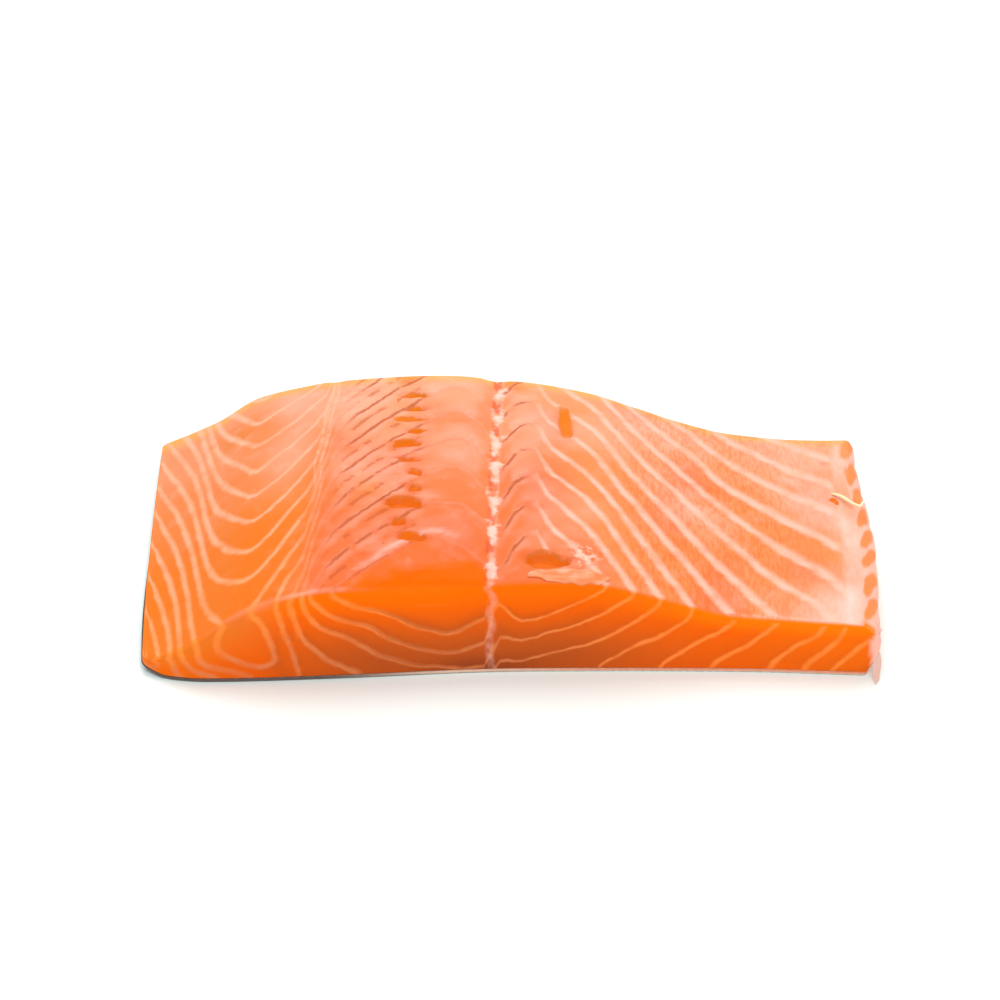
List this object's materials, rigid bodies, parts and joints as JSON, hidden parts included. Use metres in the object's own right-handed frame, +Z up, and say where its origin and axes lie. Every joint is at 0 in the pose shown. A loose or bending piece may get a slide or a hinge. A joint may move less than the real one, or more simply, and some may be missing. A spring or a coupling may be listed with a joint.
{
  "type": "raw salmon fillet",
  "caption": "Skin-on portion of raw salmon fillet, thick at the back and thin at the belly, lying on its skin.",
  "frame": {"origin": "under the middle of the portion, on the surface that it lies on", "axes": "+X from the thick back of the fish to its belly, +Y along the fish, +Z up out of the cut face"},
  "size_m": [0.1594, 0.078, 0.027],
  "materials": {
    "flesh": "moist raw salmon muscle, salmon orange with pale fat lines",
    "skin": "wet silvery grey fish skin, darker towards the back"
  },
  "bodies": {
    "root": {"flesh": "flesh", "skin": "skin"}
  },
  "joints": []
}
